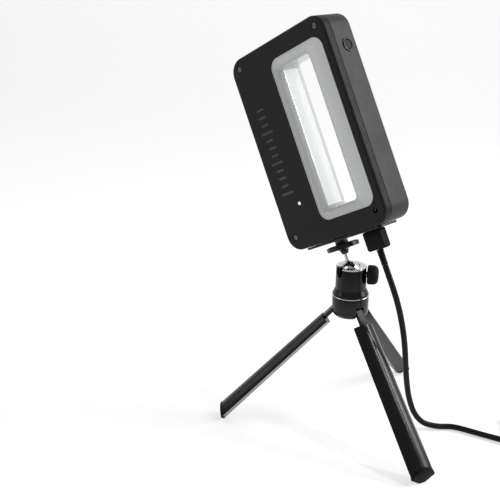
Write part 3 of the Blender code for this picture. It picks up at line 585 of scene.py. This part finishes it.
def housings():
    chamfer = 0.25
    loops = [outer_loop(chamfer, PART_Y), outer_loop(0, PART_Y - chamfer)]
    loops += face_edge(0, 1, WALL) + [outer_loop(WALL, PART_Y)]
    rear = piece("rear_cover", skin(loops, closed=True), SCANNER, "scanner", SHELL, ["rear_shell"])
    bore = [(0, -1), (2.7, -1), (2.7, 0), (2.45, 0.25), (2.45, 1.25), (1.4, 1.25), (1.4, 3), (0, 3)]
    tools = [turned(bore, (x, 0, z), ALONG_Y, 32) for x, z in screw_places()]
    light_hole = [(0, -1), (2.0, -1), (2.0, 0), (1.75, 0.2), (1.75, 3), (0, 3)]
    tools.append(turned(light_hole, (LIGHT_X, 0, LIGHT_Z), ALONG_Y, 32))
    cut(rear, joined(tools), SCANNER)
    marks(rear)
    for number, (x, z) in enumerate(screw_places(), start=1):
        head = [(0, 0.25), (1.4, 0.25), (2.2, 0.5), (2.2, 1.2), (1.1, 1.2), (1.1, 13.5), (0, 13.5)]
        head = softened(head, 0.2)
        screw = piece(
            f"case_screw_{number}", turned(head, (x, 0, z), ALONG_Y, 40), SCANNER, "scanner", STEEL,
            [f"rear_screw_{number}"],
        )
        cross = [box(x - a, x + a, 0, 0.95, z - b, z + b) for a, b in ((1.25, 0.26), (0.26, 1.25))]
        for bar in cross:
            cut(screw, bar, SCANNER)

    split = PART_Y + GAP
    loops = [outer_loop(chamfer, split), outer_loop(0, split + chamfer)]
    loops += face_edge(DEPTH, -1, FACE_WALL) + [outer_loop(WALL, split)]
    # The front housing takes the lighter black shell, with the side's light painted into its colour.
    front = piece("front_housing", skin(loops, closed=True), SCANNER, "scanner", HOUSING_PAINTED_LIT, ["front_shell"])
    x0, x1, z0, z1, radius = WINDOW
    recess = rounded(x0 - GAP, x1 + GAP, z0 - GAP, z1 + GAP, radius + GAP)
    cut(front, prism(recess, "y", DEPTH - 1.7, DEPTH + 1), SCANNER)
    cut(front, prism(rounded(x0 + 3, x1 - 3, z0 + 6, z1 - 6, 3), "y", DEPTH - 4, DEPTH - 1.5), SCANNER)
    cut(front, rod(5.3, WIDTH - 4, WIDTH + 1, (0, BUTTON_Y, BUTTON_Z), (1, 0, 0), 48), SCANNER)
    cut(front, rod(6.05, -1, 4, (SOCKET_X, MID_Y, 0), segments=48), SCANNER)
    cut(front, box(PLUG_X - 6.7, PLUG_X + 6.7, MID_Y - 2.2, MID_Y + 2.2, -1, 4), SCANNER)
    x0, x1, z0, z1, radius = WINDOW
    pane = rounded(x0, x1, z0, z1, radius)
    inner = rounded(x0 + 0.3, x1 - 0.3, z0 + 0.3, z1 - 0.3, radius - 0.3)
    loops = [(pane, DEPTH - 1.4), (pane, DEPTH - 0.45), (inner, DEPTH - 0.2)]
    glass = skin([[(x, y, z) for x, z in edge] for edge, y in loops])
    piece("front_window", glass, SCANNER, "scanner", WINDOW_BLACK, ["sensor_window"])


def marks(cover):
    """Plain bars inlaid up the wide side, where the real one carries its printed words."""

    def bars(shrink, start, end):
        found = []
        for i in range(12):
            z = 51 + 7 * i
            half = (7.5 if i % 4 == 0 else 4.5) - shrink
            edge = rounded(19 - half, 19 + half, z - 1.1 + shrink, z + 1.1 - shrink, 0.5, 4)
            found.append(prism(edge, "y", start, end))
        return joined(found)

    cut(cover, bars(0, -1, 0.6), SCANNER)
    piece("side_marks", bars(0.12, 0.1, 0.62), SCANNER, "scanner", INLAY)


def liners():
    steps = [math.radians(5 * k) for k in range(19)]

    def half(name, inward, face_y, node):
        loops = [hole_loop(0, LIP, face_y - inward * (GAP - 0.12))]
        loops.append(hole_loop(0, LIP - 0.12, face_y - inward * GAP))
        loops.append(hole_loop(0, 0.62, face_y - inward * GAP))
        loops.append(hole_loop(0, 0.5, face_y - inward * (GAP - 0.12)))
        loops.append(hole_loop(0, 0.32, face_y + inward * 0.35))
        loops += [
            hole_loop(math.sin(a), 0, face_y + inward * (FLARE * (1 - math.cos(a)) + 0.4 * math.cos(a)))
            for a in steps
        ]
        seam = MID_Y - inward * 0.01
        loops.append(hole_loop(1, 0, seam))
        loops.append(hole_loop(1, LINER_WALL, seam))
        back = FLARE + LINER_WALL * 1.4
        loops += [
            hole_loop(math.sin(a), LINER_WALL * math.sin(a), face_y + inward * (back - FLARE * math.cos(a)))
            for a in reversed(steps)
        ]
        loops.append(hole_loop(0, LIP, face_y + inward * LINER_WALL * 1.4))
        piece(name, skin(loops, closed=True), SCANNER, "scanner", LINER, [node])

    half("liner_rear_half", 1, 0, "liner_rear")
    half("liner_front_half", -1, DEPTH, "liner_front")


def fittings():
    button = SCANNER @ Matrix.Translation((WIDTH, BUTTON_Y, BUTTON_Z))
    button = button @ Matrix.Rotation(math.pi / 2, 4, "Y")
    ring = [(4.5, -3), (5.0, -3), (5.0, GAP), (5.8, GAP), (5.8, 0.65), (5.5, 1.0), (5.0, 1.1)]
    ring += [(4.65, 1.0), (4.5, 0.8)]
    piece("button_bezel", turned(ring, ring=True), button, "scanner", PAINT, ["button_ring"])
    cap = [(0, -3.6), (4.2, -3.6), (4.2, 0.3), (4.05, 0.55), (3.6, 0.75), (2.4, 0.7), (1.0, 0.62), (0, 0.6)]
    piece("button_cap", turned(cap), button, "scan_button", SHELL, ["scan_button"])

    pipe = [(0, -0.15), (0.8, -0.15), (1.2, -0.08), (1.5, 0.15), (1.5, 9.1), (0, 9.1)]
    pipe = turned(pipe, (LIGHT_X, 0, LIGHT_Z), ALONG_Y, 32)
    piece("light_pipe", pipe, SCANNER, "scanner", LIGHT_LENS, ["status_light"])

    wide, deep, long = PLUG
    top = -2 * GAP - PLATE_T
    steps = [(1.0, top), (0.35, top - 0.25), (0, top - 0.9)]
    steps += [(0, top - long + 1.6), (0.4, top - long + 0.6), (1.3, top - long)]
    loops = []
    for inset, z in steps:
        half_x, half_y = wide / 2 - inset, deep / 2 - inset
        edge = rounded(PLUG_X - half_x, PLUG_X + half_x, MID_Y - half_y, MID_Y + half_y, 1.1, 6)
        loops.append([(x, y, z) for x, y in edge])
    plug = piece("plug_overmould", skin(loops), SCANNER, "scanner", RUBBER, ["cable_plug"])
    grooves = [
        box(PLUG_X + side * 9.7 - 0.35, PLUG_X + side * 9.7 + 0.35, MID_Y - 2.2, MID_Y + 2.2, z, z + 0.7)
        for side in (-1, 1) for z in (-8, -10, -12, -14)
    ]
    cut(plug, joined(grooves), SCANNER)
    start = top - long - GAP
    taper = [(0, start), (2.7, start), (3.1, start - 0.4), (3.1, start - 1.6)]
    z = start - 2.0
    while z > start - RELIEF_LEN + 1.6:
        r = 3.1 - 0.35 * (start - z) / RELIEF_LEN
        taper += [(r - 0.35, z), (r - 0.35, z - 0.5), (r, z - 0.6), (r, z - 1.3)]
        z -= 1.7
    taper += [(2.75, start - RELIEF_LEN + 0.3), (2.62, start - RELIEF_LEN), (0, start - RELIEF_LEN)]
    sleeve = turned(taper, (PLUG_X, MID_Y, 0), segments=32)
    piece("relief_sleeve", sleeve, SCANNER, "scanner", RUBBER, ["strain_relief"])


# ---------------------------------------------------------------- ball head and tripod


def ball_head():
    rows = [math.radians(d) for d in range(-84, 73, 4)]
    ball = [(BALL_R * math.cos(a), BALL_R * math.sin(a)) for a in rows]
    neck = math.sqrt(BALL_R**2 - STEM_R**2)
    stem = [(STEM_R + 0.5, neck + 0.1), (STEM_R, neck + 0.7), (STEM_R, 18.7)]
    stem += [(STEM_R - 0.3, 19.0), (0, 19.0)]
    piece("ball_and_stem", turned([(0, -BALL_R)] + ball + stem), HEAD, "scanner", CHROME, ["ball_stem"])
    seat = PLATFORM_TOP - 0.7
    disc = [(0, 20.4), (3.5, 20.4), (3.5, seat), (12.7, seat), (12.7, PLATFORM_TOP)]
    disc += [(PLATFORM_R, PLATFORM_TOP), (PLATFORM_R, PLATFORM_LOW), (8.0, PLATFORM_LOW)]
    disc += [(6.2, 20.1), (5.0, 19.6), (4.2, 18.9), (3.65, 18.1), (3.3, 16.9), (3.05, 15.6)]
    disc += [(STEM_R + GAP, 15.6), (STEM_R + GAP, 19.3), (0, 19.3)]
    piece("platform_disc", turned(softened(disc, 0.35)), HEAD, "scanner", PAINT, ["platform"])
    pad = [(4.2, seat + GAP), (12.4, seat + GAP), (12.4, PLATFORM_TOP + GAP), (4.2, PLATFORM_TOP + GAP)]
    piece("disc_pad", turned(pad, ring=True), HEAD, "scanner", RUBBER, ["platform_pad"], bevel=0.1)

    barrel = [(3.5, BARREL_LOW), (COLLAR_R, BARREL_LOW), (COLLAR_R, 126.6), (15.4, 127.3)]
    barrel += [(14.2, 130.3), (13.6, 131.4)]
    barrel += [(13.5, 131.8), (BARREL_R, BARREL_TOP - 0.5), (BARREL_R - 0.15, BARREL_TOP - 0.15)]
    barrel += [(BARREL_R - 0.5, BARREL_TOP), (BORE_R + 0.2, BARREL_TOP), (BORE_R, BARREL_TOP - 0.2)]
    barrel += [(BORE_R, BALL_Z - 10.2), (3.5, BALL_Z - 10.2)]
    barrel = piece("barrel", turned(barrel, segments=96, ring=True), STAND, "stand", PAINT, ["head_barrel"])
    low_z = BARREL_TOP + GAP
    rim = [(8.1, low_z), (13.1, low_z), (13.35, low_z + 0.2), (13.4, low_z + 0.5), (13.25, low_z + 0.95)]
    rim += [(12.8, low_z + 1.3), (8.6, low_z + 1.3), (8.0, low_z + 1.15)]
    rim += [(7.65, low_z + 0.8), (7.7, low_z + 0.3)]
    rim = piece("rim_ring", turned(rim, segments=96, ring=True), STAND, "stand", CHROME, ["barrel_rim"])
    side = Matrix.Rotation(math.radians(SLOT_AZ), 4, "Z")
    arc = [math.radians(a) for a in range(180, 361, 9)]
    slot = [(SLOT_W / 2 * math.cos(a), BALL_Z + SLOT_W / 2 * math.sin(a)) for a in arc]
    slot += [(SLOT_W / 2, BALL_Z + 20), (-SLOT_W / 2, BALL_Z + 20)]
    for obj in (barrel, rim):
        cut(obj, prism(slot, "x", 6, 20), side)

    clamp = Matrix.Translation((0, 0, CLAMP_Z)) @ Matrix.Rotation(math.radians(CLAMP_AZ), 4, "Z")
    clamp = clamp @ Matrix.Rotation(math.pi / 2, 4, "Y")
    cut(barrel, rod(3.0, 8, 17, segments=40), clamp)
    loops = []
    profile = [(KNOB_IN, 0.89), (KNOB_IN + 0.35, 0.95), (KNOB_IN + 0.8, 1), (KNOB_IN + 2.4, 1)]
    for a in [math.radians(7.5 * k) for k in range(13)]:
        radius = KNOB_FLAT + (KNOB_R - KNOB_FLAT) * math.cos(a)
        profile.append((KNOB_OUT - KNOB_ROUND * (1 - math.sin(a)), radius / KNOB_R))
    sides, grooves, groove_depth = 160, 20, 0.3
    for z, share in profile:
        depth = groove_depth if share > 0.93 else 0.0
        loop = []
        for k in range(sides):
            wave = 0.5 + 0.5 * math.cos(2 * math.pi * k * grooves / sides)
            r = KNOB_R * share - depth * wave**3
            loop.append((r * math.cos(2 * math.pi * k / sides), r * math.sin(2 * math.pi * k / sides), z))
        loops.append(loop)
    for r, z in ((0.43, KNOB_OUT - 0.02), (0.4, KNOB_OUT - 0.3), (0.0, KNOB_OUT - 0.35)):
        angles = [2 * math.pi * k / sides for k in range(sides if r else 1)]
        loops.append([(KNOB_R * r * math.cos(a), KNOB_R * r * math.sin(a), z) for a in angles])
    bore = [(2.8, KNOB_IN), (2.8, 20.3), (0, 20.3)]
    for r, z in bore:
        angles = [2 * math.pi * k / sides for k in range(sides if r else 1)]
        loops.insert(0, [(r * math.cos(a), r * math.sin(a), z) for a in angles])
    piece("knob", skin(loops), clamp, "clamp_knob", RUBBER, ["clamp_knob"])


def leg_section(radius, grow=0.0, arcs=20):
    flat = SIDE_GAP - grow

    def on_side(distance, sign):
        a = math.radians(60)
        x = distance * math.cos(a) + flat * math.sin(a)
        y = distance * math.sin(a) - flat * math.cos(a)
        return (x - PIVOT_R, sign * y)

    rim = radius + grow
    points = [on_side(1.1, 1), on_side(rim - 0.8, 1), on_side(rim - 0.4, 1)]
    arc = [math.radians(57 - 114 * k / arcs) for k in range(arcs + 1)]
    points += [(rim * math.cos(a) - PIVOT_R, rim * math.sin(a)) for a in arc]
    points += [on_side(rim - 0.4, -1), on_side(rim - 0.8, -1), on_side(1.1, -1)]
    return points


def leg_radius(z):
    return LEG_R_TOP + (LEG_R_END - LEG_R_TOP) * (LEG_TOP - z) / (LEG_TOP - TAPER_END)


def slanted(section, rise):
    """A section laid in the leg's slanting end, or some way up the leg from it."""
    slope = (CREST_END - APEX_END) / (LEG_R_END - 1.1)
    return [(x, y, CREST_END - slope * (LEG_R_END - PIVOT_R - x) + rise) for x, y in section]


def foot_mesh():
    """A rubber foot on the slanting end, cut level where it stands."""
    grow = 0.3
    loops = [slanted(leg_section(LEG_R_END, grow - 0.2), FOOT_T)]
    loops.append(slanted(leg_section(LEG_R_END, grow), FOOT_T - 0.25))
    for inset, rise in ((0.0, 0.8), (0.1, 0.35), (0.3, 0.1), (0.5, 0.0)):
        loops.append(slanted(leg_section(LEG_R_END - inset, grow - inset), rise))
    bm = skin(loops)
    up = Vector((math.sin(math.radians(SPREAD)), 0, math.cos(math.radians(SPREAD))))
    geometry = bm.verts[:] + bm.edges[:] + bm.faces[:]
    floor_cut = bmesh.ops.bisect_plane(
        bm, geom=geometry, dist=1e-5, plane_co=up * -PIVOT_Z, plane_no=up, clear_inner=True
    )
    edges = [e for e in floor_cut["geom_cut"] if isinstance(e, bmesh.types.BMEdge)]
    bmesh.ops.holes_fill(bm, edges=edges)
    bmesh.ops.recalc_face_normals(bm, faces=bm.faces)
    return bm


def tripod():
    lean = math.radians(SPREAD)
    slots = []
    for number, azimuth in enumerate(LEG_AZ, start=1):
        side = Matrix.Rotation(math.radians(azimuth), 4, "Z")
        leg = side @ Matrix.Translation((PIVOT_R, 0, PIVOT_Z)) @ Matrix.Rotation(-lean, 4, "Y")
        body = f"leg_{number}"
        eye = [math.radians(a) for a in range(0, 181, 10)]
        outline = [(EYE_R * math.cos(a), EYE_R * math.sin(a)) for a in eye]
        outline += [(-EYE_R, -1), (LINK_LOW, -4), (LINK_LOW, LEG_TOP - 7.5)]
        outline += [(LINK_HIGH, LEG_TOP - 7.5), (LINK_HIGH, -4), (1.2, -3.2), (2.3, -2.2), (EYE_R, -1)]
        link = piece(
            f"link_{number}", prism(outline, "y", -LINK_W / 2, LINK_W / 2), leg, body, PAINT,
            [f"leg_link_{number}"],
        )
        cut(link, rod(1.5, -6, 6, axis=ALONG_Y, segments=24), leg)
        edge_round(link, 0.35)
        ends = [(LEG_TOP, 0.5), (LEG_TOP - 0.15, 0.15), (LEG_TOP - 0.5, 0.0)]
        ends += [(LEG_TOP + (TAPER_END - LEG_TOP) * k / 8, 0.0) for k in range(1, 9)]
        loops = [[(x, y, z) for x, y in leg_section(leg_radius(z) - inset, -inset)] for z, inset in ends]
        loops.append(slanted(leg_section(LEG_R_END), FOOT_T + GAP))
        bar = piece(f"bar_{number}", skin(loops), leg, body, PAINT, [f"leg_{number}_bar"])
        wide = LINK_W / 2 + GAP
        pocket = (LINK_LOW - GAP, LINK_HIGH + GAP, -wide, wide, LEG_TOP - 7.8, LEG_TOP + 1)
        cut(bar, box(*pocket), leg)
        piece(f"foot_{number}", foot_mesh(), leg, body, RUBBER, [f"leg_{number}_foot"])
        room = EYE_R + GAP
        upper = (PIVOT_R + room * math.cos(lean), PIVOT_Z + room * math.sin(lean))
        outline = [(SLOT_IN, HUB_LOW - 5), (SLOT_IN, HUB_TOP + 2), (SLOT_OUT, HUB_TOP + 2)]
        outline += [(SLOT_OUT, upper[1] - (SLOT_OUT - upper[0]) / math.tan(lean))]
        outline += [(22, upper[1] - (22 - upper[0]) / math.tan(lean)), (22, HUB_LOW - 5)]
        slots.append((prism(outline, "y", -LINK_W / 2 - GAP, LINK_W / 2 + GAP), side))
        a = math.radians(azimuth)
        at = (PIVOT_R * math.cos(a), PIVOT_R * math.sin(a), PIVOT_Z)
        along = (-math.sin(a), math.cos(a), 0)
        slots.append((rod(1.5, -6.8, 6.8, at, along, 24), STAND))

    arc = [math.radians(a) for a in range(-90, 1, 6)]
    hub = [(3.4, HUB_LOW + 3.6), (4.5, HUB_LOW + 3.6), (4.5, HUB_LOW)]
    hub += [
        (HUB_R - HUB_ROUND + HUB_ROUND * math.cos(a), HUB_LOW + HUB_ROUND + HUB_ROUND * math.sin(a))
        for a in arc
    ]
    hub += [(HUB_R, HUB_TOP - 0.5), (HUB_R - 0.15, HUB_TOP - 0.15), (HUB_R - 0.5, HUB_TOP), (3.4, HUB_TOP)]
    hub = piece("hub", turned(hub, segments=96, ring=True), STAND, "stand", PAINT, ["leg_hub"])
    for tool, place in slots:
        cut(hub, tool, place)
    edge_round(hub, 0.2, angle=40)
    low_z = HUB_TOP + GAP
    ring = [(8.0, low_z), (RING_R - 0.3, low_z), (RING_R - 0.05, low_z + 0.2), (RING_R, low_z + 0.45)]
    ring += [(RING_R - 0.15, low_z + 0.75), (RING_R - 0.5, low_z + 0.9), (8.0, low_z + 0.9)]
    piece("hub_trim", turned(ring, segments=96, ring=True), STAND, "stand", CHROME, ["hub_ring"])


# ---------------------------------------------------------------- what stays as it is in CAD


def dress_frame():
    """CAD nodes that are shown themselves get welded, rounded edges and their slot's finish."""
    slots = {row["node"]: row["material_slot"] for row in frame["record"]["subparts"]}
    for name, obj in frame["nodes"].items():
        if obj.hide_render:
            continue
        obj.data.materials.clear()
        obj.data.materials.append(MATS[slots[name]])
        obj.data.shade_smooth()
        weld = obj.modifiers.new("weld", "WELD")
        weld.merge_threshold = 1e-5
        edge_round(obj, 0.12)


studio()
cable()
housings()
liners()
fittings()
ball_head()
tripod()
dress_frame()
